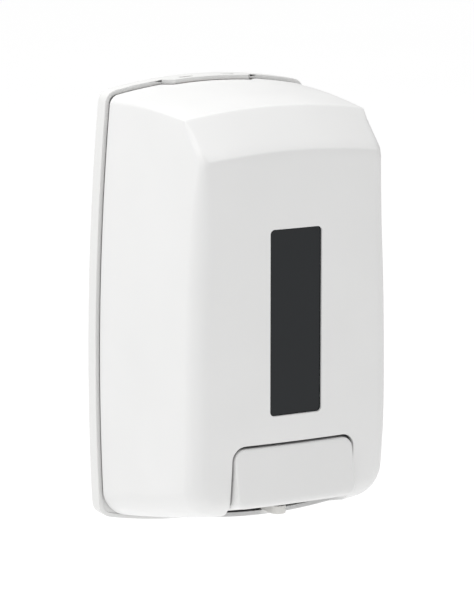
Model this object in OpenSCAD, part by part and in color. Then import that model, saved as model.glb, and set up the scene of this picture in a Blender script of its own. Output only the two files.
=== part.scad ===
// Wall mounted push soap dispenser.
// Origin: centre of the back plate's wall face. X to the right, the front faces -Y, Z up.

/* [Case] */
// Height of the back plate
plate_h = 240; // [236:1:290]
// Width of the back plate at its widest point
plate_w = 133.2; // [128:0.4:165]
// Depth from the wall to the front of the cover
case_d = 105; // [103:1:108]
// Depth of the back plate's rim
rim_d = 8.8; // [8:0.2:9.2]
// Wall of the back plate
plate_wall = 2.5; // [2:0.1:3.5]
// Wall of the front cover
cover_wall = 2.4; // [1.8:0.1:3]
// Ledge of the plate that shows outside the cover
ledge = 1.8; // [1:0.1:2.6]
// Gap between the rim and the cover
parting_gap = 1.5; // [1:0.1:1.9]
// Radius of the barrel shaped sides
side_r = 1515; // [1000:5:3000]
// Radius of the arched top and bottom
crown_r = 272; // [220:2:400]
// Draft of the cover's sides in degrees
draft = 4.3; // [3:0.1:5]
// Radius of the soft edge between side and front
soft_r = 8; // [6:0.5:10]
// Depth of the chamfer between top and front, in Y and in Z
chamfer_y = 20; // [14:1:24]

/* [Window] */
// Width of the window opening
window_w = 30; // [20:1:44]
// Height of the window opening
window_h = 96.4; // [60:0.4:110]
// Height of the window's middle above the origin
window_z = 3.3; // [0:0.1:8]
// Depth that the panel sits behind the cover's face
window_recess = 1.6; // [1:0.1:2]

/* [Push bar] */
// Width of the push bar
bar_w = 69.2; // [60:0.4:72]
// Gap round the push bar
bar_gap = 1.2; // [0.8:0.1:1.6]
// Height of the push bar's top edge
bar_top_z = -60.4; // [-63:0.2:-59]
// Travel of the push bar in degrees
bar_travel = 14; // [8:1:16]
// Diameter of the push bar's pins
bar_pin_d = 4; // [3:0.2:5]

/* [Tank] */
// Width of the tank
tank_w = 88; // [70:1:92]
// Depth of the tank
tank_d = 78; // [60:1:80]
// Height of the tank's body
tank_h = 130; // [90:1:132]
// Wall of the tank
tank_wall = 1.8; // [1.2:0.1:2.5]
// Diameter of the filler cap
cap_d = 38; // [30:1:44]

/* [Pump] */
// Bore of the pump cylinder
pump_bore = 16; // [14:0.5:17]
// Diameter of the piston rod
rod_d = 7; // [5:0.5:8]
// Radial clearance of the sliding and turning fits
fit = 0.06; // [0.03:0.01:0.1]

/* [Hidden] */
eps = 0.01;
top_corner_r = 6;                   // corners of the back plate's outline
foot_corner_r = 7;
cover_corner_r = 6.2;               // top corners of the cover
cover_foot_r = 12;                  // foot corners of the cover
free_gap = 0.4;                     // air between pieces that move apart
widest_z = -37;                     // height at which the case is widest
half_h = plate_h / 2;
half_w = plate_w / 2;
part_y = rim_d + parting_gap;       // depth of the cover's rear edge
cover_half_w = half_w - ledge;      // cover's half width at its rear edge
cover_top = half_h - ledge;         // cover's top at its rear edge
top_fall = 0.0933;                  // fall of the top surface per mm of depth
chamfer_z = chamfer_y - 0.5;
crease_y = case_d - chamfer_y;      // depth of the crease between top and chamfer
crease_z = cover_top - top_fall * (crease_y - part_y);
front_r = 460;                      // crown of the front face across X
under_rise = 0.227;                 // rise of the underside per mm of depth
under_belly = 1.2;                  // how far the underside bulges halfway
lean = 5;                           // how far the front face falls back at its foot
lean_z = -40;                       // height at which it starts to fall back

// Hinge line of the cover
hinge_y = -(part_y + 1.9);
hinge_z = -half_h + 5.4;
hinge_pin_d = 3;
hinge_lug_r = 3;
hinge_lug_x = 14;
hinge_lug_w = 5.6;
hinge_ear_w = 5;

// Push bar, its pins and the pump's line
bar_half = bar_w / 2;
bar_wall = 2.4;
pivot_y = -(case_d - 13.5);
pivot_z = bar_top_z - 7;
bar_foot_z = bar_top_z - 31;
bar_proud = 7;                      // how far the bar's foot stands out of the cover's face
flange_w = 3;
bar_corner_r = 6;
bar_foot_r = 4;
bar_ear_w = 3;
bar_ear_x = bar_half + 2;
bar_arm = 17.5;                     // height from the pins down to the piston rod
rod_z = pivot_z - bar_arm;
outlet_y = -(case_d - 45);          // line of the tank's outlet and of the nozzle
pump_r = pump_bore / 2 + 2;
pump_rear = outlet_y + 9;
cap_len = 3;
rod_tip_y = -(case_d - 6.6);
presser_r = 3;
presser_y = rod_tip_y - free_gap - presser_r;
stroke = bar_arm * sin(bar_travel) + (pivot_y - presser_y) * (1 - cos(bar_travel));
port_r = 2.6;
seal_len = 5;
seal_front = outlet_y - port_r - 0.5 - stroke - seal_len;
pump_front = seal_front - 3.5;

// Shelf and tank
shelf_z = pivot_z + 17.4;
shelf_t = 3;
tank_bottom = shelf_z;
tank_corner_r = 8;
tank_top = tank_bottom + tank_h;
tank_front = -(case_d - 11);
tank_back = tank_front + tank_d;
tank_mid = (tank_front + tank_back) / 2;
neck_r = 9;
neck_bottom = rod_z + pump_r + 1.5;
neck_y = outlet_y;
fill_y = tank_mid;
fill_r = cap_d / 2 - 4;
fill_h = 9;

// Latch
boss_half = 27;
boss_d = part_y + 4.7;
key_x = 12.5;
key_w = 8;
key_t = 4;
key_y = -9.4;
latch_w = 36;
latch_t = 6;
latch_top = half_h - 8;
latch_h = 14;
latch_travel = 4;
nose_z = latch_top - 8;             // underside of the latch's nose
latch_y = key_y - latch_t / 2;      // front of the latch slide
catch_w = 12;

// Wall screws
screw_x = 50;
screw_top_z = 84;
screw_hole_r = 2.5;
screw_pad_r = 8;

function lerp(a, b, t) = a + (b - a) * t;
function side_x(w, z) = w - pow(z - widest_z, 2) / (2 * side_r);
function arch(x) = x * x / (2 * crown_r);
function bend(a, corner, b, n) =
    [for (i = [1 : n - 1]) let (t = i / n)
        a * (1 - t) * (1 - t) + corner * 2 * t * (1 - t) + b * t * t];

// Point where the side meets the arch at height z0, for a half width w; up is 1 or -1
function corner_pt(w, z0, up) =
    let (x1 = side_x(w, z0), x2 = side_x(w, z0 - up * arch(x1)))
    [x2, z0 - up * arch(x2)];

// Right half of the outline in X and Z, from the middle of the foot to the middle of the top
function half_outline(w, top, foot, r_top, r_foot) =
    let (ct = corner_pt(w, top, 1), cf = corner_pt(w, foot, -1),
         steps = 6, x_f = cf[0] - r_foot, x_t = ct[0] - r_top,
         z_f = cf[1] + r_foot, z_t = ct[1] - r_top,
         f1 = [x_f, foot + arch(x_f)], f2 = [side_x(w, z_f), z_f],
         t1 = [side_x(w, z_t), z_t], t2 = [x_t, top - arch(x_t)])
    concat([for (i = [0 : steps]) let (x = x_f * i / steps) [x, foot + arch(x)]],
        bend(f1, cf, f2, 7),
        [for (i = [0 : 2 * steps]) let (z = lerp(z_f, z_t, i / (2 * steps))) [side_x(w, z), z]],
        bend(t1, ct, t2, 7),
        [for (i = [steps : -1 : 0]) let (x = x_t * i / steps) [x, top - arch(x)]]);

function full_outline(half) =
    concat(half, [for (i = [len(half) - 2 : -1 : 1]) [-half[i][0], half[i][1]]]);

// Plate outline pulled in by inset
function plate_outline(inset, r_top = top_corner_r) =
    full_outline(half_outline(half_w - inset, half_h - inset, inset - half_h,
        max(0.5, r_top - inset), max(0.5, foot_corner_r - inset)));

module along_y(y0, y1) translate([0, y1, 0]) rotate([90, 0, 0]) linear_extrude(y1 - y0) children();
module bar_x(r, x0, x1, y, z) translate([x0, y, z]) rotate([0, 90, 0]) cylinder(r = r, h = x1 - x0, $fn = 48);
module rod_y(r, y0, y1, x, z) translate([x, y1, z]) rotate([90, 0, 0]) cylinder(r = r, h = y1 - y0, $fn = 48);
module box(x0, x1, y0, y1, z0, z1) translate([x0, y0, z0]) cube([x1 - x0, y1 - y0, z1 - z0]);
module both_sides() { children(); mirror([1, 0, 0]) children(); }

// ---- Shape of the cover: points on its outside, pulled in by a wall t ----
function cover_w(y, t) = cover_half_w - t - tan(draft) * (y - part_y);
function front_y(x, z, t) =
    case_d - t - x * x / (2 * front_r) - lean * pow(max(0, lean_z - z) / 58, 2);
function chamfer_at(x, y, t) = crease_z - t * 0.6 + (crease_y - y) * chamfer_z / chamfer_y
    - x * x / (1.41 * crown_r);
function under_z(y, t) = -cover_top + t + under_rise * (y - part_y)
    - under_belly * sin(180 * (y - part_y) / (case_d - part_y));

// Ring of the cover at depth y, with its corner radii
function cover_ring(y, t, r_top, r_foot) =
    [for (p = full_outline(half_outline(cover_w(y, t), cover_top - t - top_fall * (y - part_y),
        under_z(y, t), r_top, r_foot))) [p[0], -y, p[1]]];

// Level section of the front, at height z, shrunk by drop towards the rounded foot
function front_section(z, t, drop) =
    let (r = soft_r - t, w = cover_w(case_d - soft_r, t) - pow(z - widest_z, 2) / (2 * side_r),
         xc = w - r, yc = front_y(xc, z, t) - r)
    concat([for (a = [0 : 18 : 90]) [xc + (r - drop) * cos(a), -(yc + (r - drop) * sin(a))]],
        [for (i = [3 : -1 : 0]) let (x = xc * i / 4) [x, -(front_y(x, z, t) - drop)]]);

function mirror_pts(pts) = concat(pts, [for (p = pts) [-p[0], p[1], p[2]]]);

function cover_points(t) =
    let (r = soft_r - t, foot_y = case_d - lean - soft_r,
         foot_c = under_z(foot_y, t) + r - 0.4)
    concat(
        cover_ring(part_y, t, cover_corner_r - t, cover_foot_r - t),
        cover_ring((part_y + foot_y) / 2, t, 0.6 * (cover_corner_r - t), cover_foot_r - 2 - t),
        mirror_pts([for (i = [0 : 6])
            let (x = (cover_w(crease_y, t) - pow(crease_z - widest_z, 2) / (2 * side_r) - 0.8) * i / 6,
                 y = crease_y - 0.00088 * x * x)
            [x, -y, cover_top - t - top_fall * (y - part_y) - arch(x)]]),
        mirror_pts([for (i = [0 : 8]) for (p = front_section(lerp(foot_c + 6, 60, i / 8), t, 0))
            [p[0], p[1], lerp(foot_c + 6, 60, i / 8)]]),
        mirror_pts([for (p = front_section(crease_z - chamfer_z - 3, t, 0))
            [p[0], p[1], chamfer_at(p[0], -p[1] + t * 0.4, t)]]),
        mirror_pts([for (b = [0 : 15 : 90]) for (p = front_section(foot_c, t, r * (1 - cos(b))))
            [p[0], p[1], foot_c + arch(p[0]) * 0.6 - r * sin(b)]]));

module cover_form(t) {
    pts = cover_points(t);
    hull() polyhedron(points = pts, faces = [for (i = [0 : len(pts) - 3]) [i, i + 1, i + 2]]);
}

// ---- Back plate side ----
module back_plate() color("white") difference() {
    union() {
        difference() {
            along_y(-rim_d, 0) polygon(plate_outline(0));
            along_y(-rim_d - 1, -plate_wall) polygon(plate_outline(plate_wall));
        }
        locating_lip();
        latch_boss();
        both_sides() for (z = [-screw_top_z, screw_top_z])
            rod_y(screw_pad_r, -plate_wall - 1.5, -1, screw_x, z);
        both_sides() hinge_lug();
        both_sides() for (z = [bracket_top, bracket_low])
            rod_y(4.5, bracket_back, -1, bracket_screw_x, z);
    }
    both_sides() for (z = [-screw_top_z, screw_top_z]) {
        rod_y(screw_hole_r, -20, 1, screw_x, z);
    }
    both_sides() bar_x(hinge_pin_d / 2, hinge_lug_x - 1, hinge_lug_x + hinge_lug_w + 1, hinge_y, hinge_z);
    both_sides() for (z = [bracket_top, bracket_low])
        rod_y(bracket_screw_r, bracket_back - 1, -1.2, bracket_screw_x, z);
    both_sides() rod_y(guide_screw_r, -guide_back - 1, -1.2, guide_screw_x, guide_screw_z);
}

// Low wall inside the cover that centres it on the plate, open at the foot and at the latch
module locating_lip() difference() {
    along_y(-part_y - 2.5, -1) polygon(plate_outline(ledge + cover_wall + 0.7, cover_corner_r + ledge));
    along_y(-part_y - 4, -0.5) polygon(plate_outline(ledge + cover_wall + 2.3, cover_corner_r + ledge));
    box(-half_w, half_w, -20, -plate_wall, -half_h, -half_h + 26);
    box(-boss_half - 5, boss_half + 5, -20, -plate_wall, half_h - 20, half_h);
}

module boss_outline() polygon([[-boss_half, 0], [-boss_half, -rim_d + 1], [-boss_half + 5, -boss_d],
    [boss_half - 5, -boss_d], [boss_half, -rim_d + 1], [boss_half, 0]]);

// Raised middle of the rim with the two key slots
module latch_boss() difference() {
    intersection() {
        translate([0, 0, half_h - 16]) linear_extrude(20) boss_outline();
        along_y(-boss_d - 1, 0) polygon(plate_outline(0));
    }
    along_y(-boss_d - 2, -plate_wall) polygon(plate_outline(plate_wall));
    for (x = [-key_x, key_x])
        box(x - key_w / 2, x + key_w / 2, key_y - key_t / 2, key_y + key_t / 2, half_h - 8, half_h + 1);
}

module hinge_lug() {
    bar_x(hinge_lug_r, hinge_lug_x, hinge_lug_x + hinge_lug_w, hinge_y, hinge_z);
    box(hinge_lug_x, hinge_lug_x + hinge_lug_w, hinge_y, -1, hinge_z - hinge_lug_r, hinge_z + hinge_lug_r);
}

guide_back = plate_wall;
guide_screw_x = 27;
guide_screw_z = half_h - 22;
guide_screw_r = 1.4;
guide_clear = 0.3;
guide_floor_z = latch_top - latch_h - latch_travel - 6;
latch_pocket = 6;

// Frame screwed to the plate, in which the latch slides
module latch_guide() color("gainsboro") difference() {
    box(-32, 32, latch_y - 2.4, -guide_back, guide_floor_z - 3, latch_top - 2);
    box(-latch_w / 2 - guide_clear, latch_w / 2 + guide_clear, latch_y - 3, key_y + latch_t / 2 + guide_clear,
        guide_floor_z, latch_top + 1);
    both_sides() rod_y(guide_screw_r, -20, 0, guide_screw_x, guide_screw_z);
    both_sides() rod_y(3, -20, latch_y + 2, guide_screw_x, guide_screw_z);
}

module screw(r, head_r, head_h, y_head, y_end, x, z) difference() {
    union() {
        rod_y(r, y_head, y_end, x, z);
        rod_y(head_r, y_head - head_h, y_head, x, z);
    }
    box(x - 0.4, x + 0.4, y_head - head_h - 1, y_head - head_h + 0.9, z - head_r * 0.8, z + head_r * 0.8);
    box(x - head_r * 0.8, x + head_r * 0.8, y_head - head_h - 1, y_head - head_h + 0.9, z - 0.4, z + 0.4);
}

module latch_guide_screws() color("silver")
    for (x = [-guide_screw_x, guide_screw_x])
        screw(guide_screw_r, 2.7, 1.8, latch_y + 2, -1.3, x, guide_screw_z);

// Slide pressed down by the key's two prongs
module lock_latch() color("orange") difference() {
    union() {
        box(-latch_w / 2, latch_w / 2, latch_y, latch_y + latch_t, latch_top - latch_h, latch_top);
        box(-7, 7, latch_y - 4.4, latch_y + 1, nose_z, nose_z + 3);
    }
    translate([0, latch_y + latch_t / 2, latch_top - latch_h - 1])
        cylinder(r = 2.6, h = latch_pocket + 1, $fn = 48);
}

module ring_spring(r, wire, turns, length)
    for (i = [0 : turns - 1])
        translate([0, 0, wire / 2 + (length - wire) * i / (turns - 1)])
            rotate_extrude($fn = 48) translate([r, 0]) circle(d = wire, $fn = 16);

module latch_spring() color("lightgray") {
    length = latch_top - latch_h + latch_pocket - guide_floor_z;
    translate([0, latch_y + latch_t / 2, guide_floor_z]) {
        ring_spring(1.9, 0.8, 7, length);
        translate([1.5, -0.3, 0.4]) cube([0.8, 0.6, length - 0.8]);
    }
}

bracket_back = -plate_wall - 3.5;
bracket_screw_x = 30;
bracket_screw_r = 1.6;
bracket_top = 40;
bracket_low = rod_z + 4;
bracket_t = 2.5;

// Chassis that carries tank, pump and push bar
module pump_bracket() color("whitesmoke") difference() {
    union() {
        box(-40, 40, bracket_back - bracket_t, bracket_back, rod_z - 12, 50);
        box(-42, 42, tank_front + 4, bracket_back - 1, shelf_z - shelf_t, shelf_z - eps);
        both_sides() side_web();
        both_sides() box(nut_r + 1, nut_r + 4, outlet_y - 14, bracket_back - 1, rod_z - 4, shelf_z - 1);
    }
    box(-neck_r - 0.5, neck_r + 0.5, tank_front, neck_y, shelf_z - shelf_t - 20, shelf_z + 1);
    translate([0, neck_y, shelf_z - 30]) cylinder(r = neck_r + 0.5, h = 40, $fn = 64);
    translate([0, neck_y, shelf_z - 30]) cylinder(r = nut_r + 0.6, h = 30 - shelf_t, $fn = 64);
    box(-nut_r - 0.6, nut_r + 0.6, tank_front, neck_y, shelf_z - 40, shelf_z - shelf_t);
    both_sides() for (z = [bracket_top, bracket_low]) rod_y(bracket_screw_r, -20, 0, bracket_screw_x, z);
    box(-16, 16, bracket_back - bracket_t - 1, bracket_back + 1, -30, 36);
}

// Triangular rib that carries the shelf
module side_web() translate([37, 0, 0]) rotate([90, 0, 90]) linear_extrude(3)
    polygon([[bracket_back - 1, shelf_z - 1], [tank_front + 8, shelf_z - 1], [tank_front + 8, shelf_z - 6],
        [bracket_back - 1, rod_z - 10]]);

module bracket_screws() color("silver")
    for (x = [-bracket_screw_x, bracket_screw_x]) for (z = [bracket_top, bracket_low])
        screw(bracket_screw_r, 3.2, 2, bracket_back - bracket_t, -1.3, x, z);

// Refillable tank with a filler neck at the top and an outlet neck at the foot
module tank_section(inset) {
    r = tank_corner_r - inset;
    w = tank_w / 2 - inset;
    translate([0, tank_mid]) union() {
        square([2 * w - 2 * r, tank_d - 2 * inset], center = true);
        square([2 * w, tank_d - 2 * inset - 2 * r], center = true);
        for (x = [-w + r, w - r]) for (y = [-1, 1])
            translate([x, y * (tank_d / 2 - inset - r)]) circle(r = r, $fn = 48);
    }
}

module tank() color([0.93, 0.95, 0.96]) difference() {
    union() {
        translate([0, 0, tank_bottom]) linear_extrude(tank_top - tank_bottom) tank_section(0);
        translate([0, neck_y, neck_bottom]) cylinder(r = neck_r, h = tank_bottom - neck_bottom + 1, $fn = 64);
        translate([0, fill_y, tank_top - 1]) cylinder(r = fill_r, h = fill_h + 1, $fn = 64);
    }
    translate([0, 0, tank_bottom + tank_wall])
        linear_extrude(tank_top - tank_bottom - 2 * tank_wall) tank_section(tank_wall);
    translate([0, neck_y, neck_bottom + 3]) cylinder(r = neck_r - 2, h = 30, $fn = 64);
    translate([0, neck_y, neck_bottom - 1]) cylinder(r = port_r, h = 10, $fn = 48);
    translate([0, fill_y, tank_top - 5]) cylinder(r = fill_r - 2, h = fill_h + 10, $fn = 64);
}

ball_r = 4;
nut_r = neck_r + 3;
nut_h = 5;

module outlet_seal() color("dimgray")
    translate([0, neck_y, neck_bottom - 1.5]) difference() {
        cylinder(r = neck_r - 1, h = 1.5, $fn = 64);
        translate([0, 0, -1]) cylinder(r = port_r + 1, h = 4, $fn = 48);
    }

module lock_nut() color("gainsboro") {
    z0 = shelf_z - shelf_t - nut_h - 0.5;
    translate([0, neck_y, z0]) difference() {
        union() {
            cylinder(r = nut_r - 0.8, h = nut_h, $fn = 64);
            for (a = [0 : 30 : 330]) rotate(a) translate([nut_r - 1, -1.2, 0]) cube([1, 2.4, nut_h]);
        }
        translate([0, 0, -1]) cylinder(r = neck_r, h = nut_h + 2, $fn = 64);
    }
}

// Ball rests in the seat at the foot of the outlet neck
module inlet_ball() color("lightsteelblue")
    translate([0, neck_y, neck_bottom + 3 + sqrt(ball_r * ball_r - port_r * port_r) + 0.05])
        sphere(r = ball_r, $fn = 48);

module pump_body() color("darkslategray") difference() {
    union() {
        rod_y(pump_r, pump_front, pump_rear, 0, rod_z);
        translate([0, neck_y, rod_z]) cylinder(r = neck_r - 1, h = neck_bottom - 1.5 - rod_z, $fn = 64);
        translate([0, neck_y, nozzle_top - 2.5]) cylinder(r = 6, h = pump_r, $fn = 64);
    }
    rod_y(pump_bore / 2, pump_front - 1, pump_rear - 2.5, 0, rod_z);
    translate([0, neck_y, rod_z + 2]) cylinder(r = port_r, h = 40, $fn = 48);
    translate([0, neck_y, rod_z - pump_r - 5]) cylinder(r = port_r, h = pump_r, $fn = 48);
}

module pump_end_cap() color("dimgray") difference() {
    union() {
        rod_y(pump_r + 1.2, pump_front - cap_len, pump_front, 0, rod_z);
        rod_y(pump_bore / 2 - 0.02, pump_front - 1, pump_front + 1.5, 0, rod_z);
    }
    rod_y(rod_d / 2 + fit, pump_front - cap_len - 1, pump_front + 3, 0, rod_z);
}

module piston_rod() color("whitesmoke") difference() {
    union() {
        rod_y(rod_d / 2, rod_tip_y, seal_front + seal_len, 0, rod_z);
        rod_y(rod_d / 2 + 1.5, rod_tip_y, rod_tip_y + 2, 0, rod_z);
        rod_y(rod_d / 2 + 2, seal_front - 1, seal_front, 0, rod_z);
    }
    rod_y(rod_d / 2 - 1, seal_front + 1, seal_front + seal_len + 1, 0, rod_z);
}

module piston_seal() color("black") difference() {
    rod_y(pump_bore / 2 - fit, seal_front, seal_front + seal_len, 0, rod_z);
    rod_y(rod_d / 2, seal_front - 1, seal_front + seal_len + 1, 0, rod_z);
    rod_y(pump_bore / 2 - 1.2, seal_front + seal_len - 1.2, seal_front + seal_len + 1, 0, rod_z);
}

// Return spring between the piston and the closed end of the cylinder
module pump_spring() color("silver") {
    y0 = seal_front + seal_len - 1.2;
    length = pump_rear - 2.5 - y0;
    translate([0, y0 + length, rod_z]) rotate([90, 0, 0]) {
        ring_spring(6, 1, 8, length);
        rotate(45) translate([5.6, -0.4, 0.5]) cube([0.8, 0.8, length - 1]);
    }
}

nozzle_top = rod_z - pump_r - 1.7;
nozzle_y = -(case_d - 19);
spout_r = 4.2;
duct_h = 4.4;
duct_r = 1.3;
valve_r = 3;

// Duct under the pump that leads forward to the spout
module nozzle() color("gainsboro") difference() {
    union() {
        translate([0, outlet_y, nozzle_top - duct_h]) cylinder(r = 8, h = duct_h, $fn = 64);
        box(-spout_r, spout_r, nozzle_y, outlet_y, nozzle_top - duct_h, nozzle_top);
        translate([0, nozzle_y, nozzle_top - duct_h]) cylinder(r = spout_r, h = duct_h, $fn = 64);
    }
    translate([0, outlet_y, nozzle_top - 2.5]) cylinder(r = 6, h = 4, $fn = 64);
    translate([0, outlet_y, nozzle_top - duct_h + 1]) cylinder(r = duct_r, h = 5, $fn = 48);
    rod_y(duct_r, nozzle_y, outlet_y, 0, nozzle_top - duct_h + 1 + duct_r);
    translate([0, nozzle_y, nozzle_top - duct_h - 2]) cylinder(r = valve_r, h = duct_h, $fn = 48);
}

module duckbill_valve() color("gray") translate([0, nozzle_y, nozzle_top - duct_h]) difference() {
    union() {
        translate([0, 0, 0.6]) cylinder(r = valve_r, h = 1.4, $fn = 48);
        translate([0, 0, -0.8]) cylinder(r1 = 1.2, r2 = valve_r - 0.3, h = 1.4 + eps, $fn = 48);
    }
    translate([0, 0, -2]) cylinder(r = 0.7, h = 8, $fn = 32);
}

// ---- Push bar ----
// Side profile in Y and Z: an upright face that leans out to its foot, and a lip below
function bar_face_y(z) = lerp(case_d - 0.6, case_d - lean * 0.45 + bar_proud,
    (bar_top_z - z) / (bar_top_z - bar_foot_z));

module bar_profile() polygon(concat(
    [[pivot_y + 4.5, bar_top_z - 1.2], [-bar_face_y(bar_top_z) + 1.2, bar_top_z - 0.2]],
    [[-bar_face_y(bar_top_z - 1), bar_top_z - 1.4], [-bar_face_y(bar_foot_z + 4), bar_foot_z + 4]],
    bend([-bar_face_y(bar_foot_z + 4), bar_foot_z + 4], [-bar_face_y(bar_foot_z) + 0.4, bar_foot_z],
        [-bar_face_y(bar_foot_z) + 5, bar_foot_z - 1.2], 5),
    [[-bar_face_y(bar_foot_z) + 5, bar_foot_z - 1.2], [lip_back, lip_back_z], [lip_back, lip_back_z + 10],
        [pivot_y + 4.5, pivot_z - 5]]));

lip_back = -(case_d - 16);
lip_back_z = bar_foot_z - 4.8;

module bar_front_outline() {
    r = bar_corner_r;
    rf = bar_foot_r;
    union() {
        box2(-bar_half, bar_half, lip_back_z + rf, bar_top_z - r);
        box2(-bar_half + r, bar_half - r, lip_back_z + rf, bar_top_z);
        box2(-bar_half + rf, bar_half - rf, lip_back_z, bar_top_z - r);
        for (x = [-bar_half + r, bar_half - r]) translate([x, bar_top_z - r]) circle(r = r, $fn = 48);
        for (x = [-bar_half + rf, bar_half - rf]) translate([x, lip_back_z + rf]) circle(r = rf, $fn = 48);
    }
}

module bar_solid(inset) intersection() {
    translate([-bar_half + inset, 0, 0]) rotate([90, 0, 90]) linear_extrude(bar_w - 2 * inset) bar_profile();
    along_y(-case_d - 30, 0) bar_front_outline();
}

module push_bar() color("white") difference() {
    union() {
        difference() {
            bar_solid(0);
            translate([0, bar_wall, 0]) intersection() {
                box(-bar_half + flange_w, bar_half - flange_w, -case_d - 20, -50,
                    lip_back_z + bar_wall + 2.2, bar_top_z - bar_wall - 0.4);
                translate([-bar_half, 0, 0]) rotate([90, 0, 90]) linear_extrude(bar_w) bar_profile();
            }
            box(-bar_half + flange_w, bar_half - flange_w, pivot_y + 1.5, -50, rod_z - 30, bar_top_z + 1);
            lip_notch();
        }
        presser();
    }
    both_sides() bar_x(bar_pin_d / 2 + fit, bar_half - flange_w - 1, bar_half + 1, pivot_y, pivot_z);
}

// Shallow notch in the middle of the lip, where the soap falls
module lip_notch() translate([0, lip_back + 1, lip_back_z - 5])
    linear_extrude(14) polygon([[-15, 8], [-15, -1], [-9, -10], [9, -10], [15, -1], [15, 8]]);

// Round rib that meets the end of the piston rod
module presser() {
    bar_x(presser_r, -8, 8, presser_y, rod_z);
    box(-8, 8, -case_d - 0.8, presser_y, rod_z - presser_r, rod_z + presser_r);
}

module push_bar_pins() color("silver") both_sides() union() {
    bar_x(bar_pin_d / 2, bar_half - flange_w - 7, bar_ear_x + bar_ear_w, pivot_y, pivot_z);
    bar_x(bar_pin_d / 2 + 1.2, bar_ear_x + bar_ear_w, bar_ear_x + bar_ear_w + 1.2, pivot_y, pivot_z);
}

module push_bar_springs() color("darkgray") both_sides() union() {
    for (i = [0 : 3]) translate([bar_half - flange_w - 6.4 + i * 1.3, pivot_y, pivot_z]) rotate([0, 90, 0])
        rotate_extrude($fn = 48) translate([bar_pin_d / 2 + 0.9, 0]) circle(d = 1, $fn = 16);
    box(bar_half - flange_w - 6.8, bar_half - flange_w - 2.0, pivot_y - 0.4, pivot_y + 0.4,
        pivot_z + bar_pin_d / 2 + 0.5, pivot_z + bar_pin_d / 2 + 1.3);
}

// ---- Cover side ----
bar_cut_half = bar_half + bar_gap;
cut_top_z = bar_top_z + bar_gap + 0.3;
under_cut_y = -(case_d - 28);       // rear edge of the opening in the underside

// Cut-out for the push bar, which runs on into the underside
module bar_cutout() {
    r = bar_corner_r + bar_gap;
    along_y(-case_d - 30, -case_d + 12) union() {
        box2(-bar_cut_half, bar_cut_half, -half_h - 10, cut_top_z - r);
        box2(-bar_cut_half + r, bar_cut_half - r, -half_h - 10, cut_top_z);
        for (x = [-bar_cut_half + r, bar_cut_half - r]) translate([x, cut_top_z - r]) circle(r = r, $fn = 48);
    }
    box(-bar_cut_half, bar_cut_half, -case_d - 30, under_cut_y, -half_h - 10, under_cut_z);
}
under_cut_z = -half_h + 34;

module box2(x0, x1, z0, z1) translate([x0, z0]) square([x1 - x0, z1 - z0]);

module window_outline(grow) {
    w = window_w / 2 + grow;
    h = window_h / 2 + grow;
    r = 2.4 + grow;
    translate([0, window_z]) union() {
        square([2 * w - 2 * r, 2 * h], center = true);
        square([2 * w, 2 * h - 2 * r], center = true);
        for (x = [-w + r, w - r]) for (z = [-h + r, h - r]) translate([x, z]) circle(r = r, $fn = 48);
    }
}

module front_cover() color("white") difference() {
    union() {
        difference() {
            cover_form(0);
            difference() {
                cover_form(cover_wall);
                // Front wall is thicker round the window, so that the panel has a seat
                along_y(-case_d - 5, -case_d + window_recess + window_t) window_outline(6);
            }
            box(-half_w, half_w, -part_y - eps, 5, -half_h, half_h);
        }
        both_sides() cover_ear();
        both_sides() bar_ear();
    }
    along_y(-case_d - 5, -case_d + 10) window_outline(0);
    along_y(-case_d + window_recess, -case_d + 10) window_outline(3 + 0.1);
    bar_cutout();
    translate([0, 0, half_h - 20]) linear_extrude(30) offset(delta = 0.8) boss_outline();
    both_sides()
        box(hinge_lug_x - 0.4, hinge_lug_x + hinge_lug_w + 0.3, hinge_y - 4.6, 0, -half_h - 5, hinge_z + 8);
    both_sides() bar_x(hinge_pin_d / 2 + fit, ear_x - 1, ear_x + hinge_ear_w + 1, hinge_y, hinge_z);
    both_sides() bar_x(bar_pin_d / 2, bar_ear_x - 1, bar_ear_x + bar_ear_w + 1, pivot_y, pivot_z);
}

ear_x = hinge_lug_x + hinge_lug_w + 0.3;
module cover_ear() intersection() {
    union() {
        bar_x(3.2, ear_x, ear_x + hinge_ear_w, hinge_y, hinge_z);
        box(ear_x, ear_x + hinge_ear_w, hinge_y - 9, hinge_y, hinge_z - 3.2, hinge_z + 3.2);
    }
    union() { cover_form(0.5); bar_x(3.2, ear_x, ear_x + hinge_ear_w, hinge_y, hinge_z); }
}

// Ear inside the cover that holds one of the push bar's pins
module bar_ear() intersection() {
    union() {
        bar_x(bar_pin_d / 2 + 3, bar_ear_x, bar_ear_x + bar_ear_w, pivot_y, pivot_z);
        box(bar_ear_x, bar_ear_x + bar_ear_w, -case_d, pivot_y,
            pivot_z - bar_pin_d / 2 - 3, pivot_z + bar_pin_d / 2 + 3);
    }
    cover_form(1);
}

// Rib bonded under the cover's top skin, in front of the latch
module cover_catch() color("gainsboro") intersection() {
    translate([-catch_w / 2, 0, 0]) rotate([90, 0, 90]) linear_extrude(catch_w) polygon([
        [latch_y - 9, nose_z - 2],
        [latch_y - 5.6, nose_z - 2],
        [latch_y - 6.4, half_h],
        [latch_y - 10.5, half_h]]);
    cover_form(cover_wall);
}

window_t = 2;
module window() color([0.1, 0.11, 0.12]) along_y(-case_d + window_recess, -case_d + window_recess + window_t)
    window_outline(3);

module window_frame() color("gainsboro") difference() {
    along_y(-case_d + window_recess + window_t, -case_d + window_recess + window_t + 2) window_outline(5);
    along_y(-case_d, -case_d + 12) window_outline(-1);
}

module cover_hinge_pins() color("silver") both_sides()
    bar_x(hinge_pin_d / 2, hinge_lug_x, ear_x + hinge_ear_w, hinge_y, hinge_z);

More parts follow.
